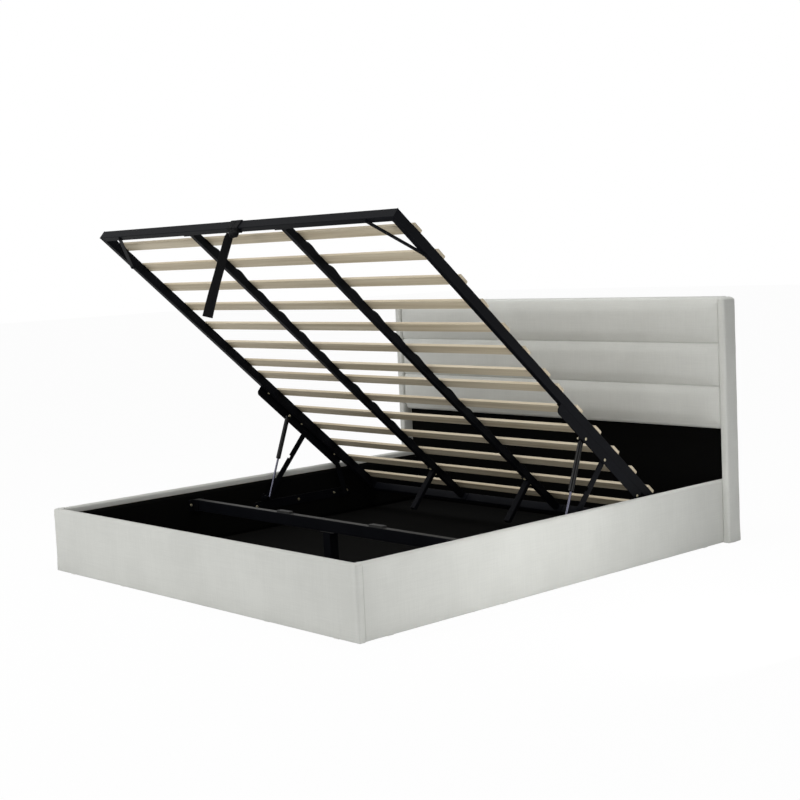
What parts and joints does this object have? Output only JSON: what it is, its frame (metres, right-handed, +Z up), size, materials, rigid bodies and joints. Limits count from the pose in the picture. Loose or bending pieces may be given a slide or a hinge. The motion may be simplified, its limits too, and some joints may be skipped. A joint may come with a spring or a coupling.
{
  "type": "upholstered storage bed",
  "caption": "Upholstered storage bed with a channelled headboard, its slatted base raised on links and gas struts over an open box.",
  "frame": {"origin": "on the floor, in the middle of the bed's outline", "axes": "+X across the bed, +Y from the foot end to the headboard, +Z up"},
  "size_m": [2.0566, 2.162, 1.4596],
  "materials": {
    "light_fabric": "smooth woven upholstery, slight sheen",
    "black_lining": "matt non-woven lining",
    "board_wood": "raw board",
    "black_steel": "satin black powder coat",
    "slat_wood": "planed, unvarnished",
    "zinc_steel": "zinc plated",
    "black_rubber": "matt",
    "pale_plastic": "matt nylon",
    "black_webbing": "woven tape",
    "strut_steel": "gloss black",
    "chrome_rod": "polished"
  },
  "bodies": {
    "base": {"footboard_board": "board_wood", "footboard_cover": "light_fabric", "side_rail_board_right": "board_wood", "side_rail_board_left": "board_wood", "side_rail_cover_right": "light_fabric", "side_rail_cover_left": "light_fabric", "box_lining": "black_lining", "bottom_panels": "black_lining", "headboard_panel": "board_wood", "headboard_lining": "black_lining", "headboard_pad": "light_fabric", "headboard_wing_right": "light_fabric", "headboard_wing_left": "light_fabric", "rail_brackets": "black_steel", "cross_beam": "black_steel", "rest_pads": "black_rubber", "centre_leg": "black_steel", "floor_glides": "pale_plastic", "lift_bracket_right": "black_steel", "lift_bracket_left": "black_steel", "ground_pivots": "black_steel", "base_bolts": "zinc_steel"},
    "lift_frame": {"foot_tube": "black_steel", "head_tube": "black_steel", "side_tube_right": "black_steel", "side_tube_left": "black_steel", "inner_rail_right": "black_steel", "inner_rail_left": "black_steel", "lift_angle_right": "black_steel", "lift_angle_left": "black_steel", "frame_leg_right": "black_steel", "frame_leg_left": "black_steel", "corner_braces": "black_steel", "frame_pivots": "black_steel", "frame_bolts": "zinc_steel", "slat_webbing": "black_webbing", "strap_hitch": "black_webbing", "slat_01": "slat_wood", "slat_02": "slat_wood", "slat_03": "slat_wood", "slat_04": "slat_wood", "slat_05": "slat_wood", "slat_06": "slat_wood", "slat_07": "slat_wood", "slat_08": "slat_wood", "slat_09": "slat_wood", "slat_10": "slat_wood", "slat_11": "slat_wood", "slat_12": "slat_wood", "slat_13": "slat_wood", "slat_14": "slat_wood"},
    "front_link_right": {"front_link_right": "black_steel"},
    "front_link_left": {"front_link_left": "black_steel"},
    "rear_link_right": {"rear_link_right": "black_steel"},
    "rear_link_left": {"rear_link_left": "black_steel"},
    "strut_cylinder_right": {"strut_cylinder_right": "strut_steel"},
    "strut_cylinder_left": {"strut_cylinder_left": "strut_steel"},
    "strut_rod_right": {"strut_rod_right": "chrome_rod"},
    "strut_rod_left": {"strut_rod_left": "chrome_rod"},
    "pull_strap": {"pull_strap": "black_webbing"}
  },
  "joints": [
    {"name": "lift", "type": "hinge", "parent": "base", "child": "front_link_left", "pos_m": [-0.9415, 0.0322, 0.1618], "axis": [1, 0, 0], "range_deg": [-44.74, 0], "stiffness_Nm_per_rad": 80, "springref_deg": 171.89},
    {"name": "frame_tilt", "type": "hinge", "parent": "front_link_left", "child": "lift_frame", "pos_m": [-0.9415, 0.28351, 0.44777], "axis": [1, 0, 0], "range_deg": [0, 86.05]},
    {"name": "front_link_right_swing", "type": "hinge", "parent": "base", "child": "front_link_right", "pos_m": [0.9415, 0.0322, 0.1618], "axis": [1, 0, 0], "range_deg": [-44.75, 0]},
    {"name": "rear_link_left_swing", "type": "hinge", "parent": "lift_frame", "child": "rear_link_left", "pos_m": [-0.9415, 0.47959, 0.27551], "axis": [1, 0, 0], "range_deg": [-119.77, 0]},
    {"name": "rear_link_right_swing", "type": "hinge", "parent": "lift_frame", "child": "rear_link_right", "pos_m": [0.9415, 0.47959, 0.27551], "axis": [1, 0, 0], "range_deg": [-119.77, 0]},
    {"name": "strut_left_swing", "type": "hinge", "parent": "base", "child": "strut_rod_left", "pos_m": [-0.927, 0.0322, 0.1618], "axis": [1, 0, 0], "range_deg": [-63.39, 0]},
    {"name": "strut_right_swing", "type": "hinge", "parent": "base", "child": "strut_rod_right", "pos_m": [0.927, 0.0322, 0.1618], "axis": [1, 0, 0], "range_deg": [-63.39, 0]},
    {"name": "strap_swing", "type": "hinge", "parent": "lift_frame", "child": "pull_strap", "pos_m": [0.01, -0.79795, 1.40238], "axis": [1, 0, 0], "range_deg": [0, 62.31]},
    {"name": "strut_left_slide", "type": "slide", "parent": "strut_rod_left", "child": "strut_cylinder_left", "axis": [0, 0.3452, 0.9385], "range_m": [-0.17391, 0]},
    {"name": "strut_right_slide", "type": "slide", "parent": "strut_rod_right", "child": "strut_cylinder_right", "axis": [0, 0.3452, 0.9385], "range_m": [-0.17391, 0]}
  ],
  "couplings": [
    {"joint": "frame_tilt", "follows": "lift", "ratio": -1.923},
    {"joint": "front_link_right_swing", "follows": "lift", "ratio": 1},
    {"joint": "rear_link_left_swing", "follows": "lift", "ratio": 2.6764},
    {"joint": "rear_link_right_swing", "follows": "lift", "ratio": 2.6764},
    {"joint": "strut_left_swing", "follows": "lift", "ratio": 1.4166},
    {"joint": "strut_right_swing", "follows": "lift", "ratio": 1.4166},
    {"joint": "strap_swing", "follows": "lift", "ratio": -1.3923},
    {"joint": "strut_left_slide", "follows": "lift", "m_per_rad": 0.22256},
    {"joint": "strut_right_slide", "follows": "lift", "m_per_rad": 0.22256}
  ]
}
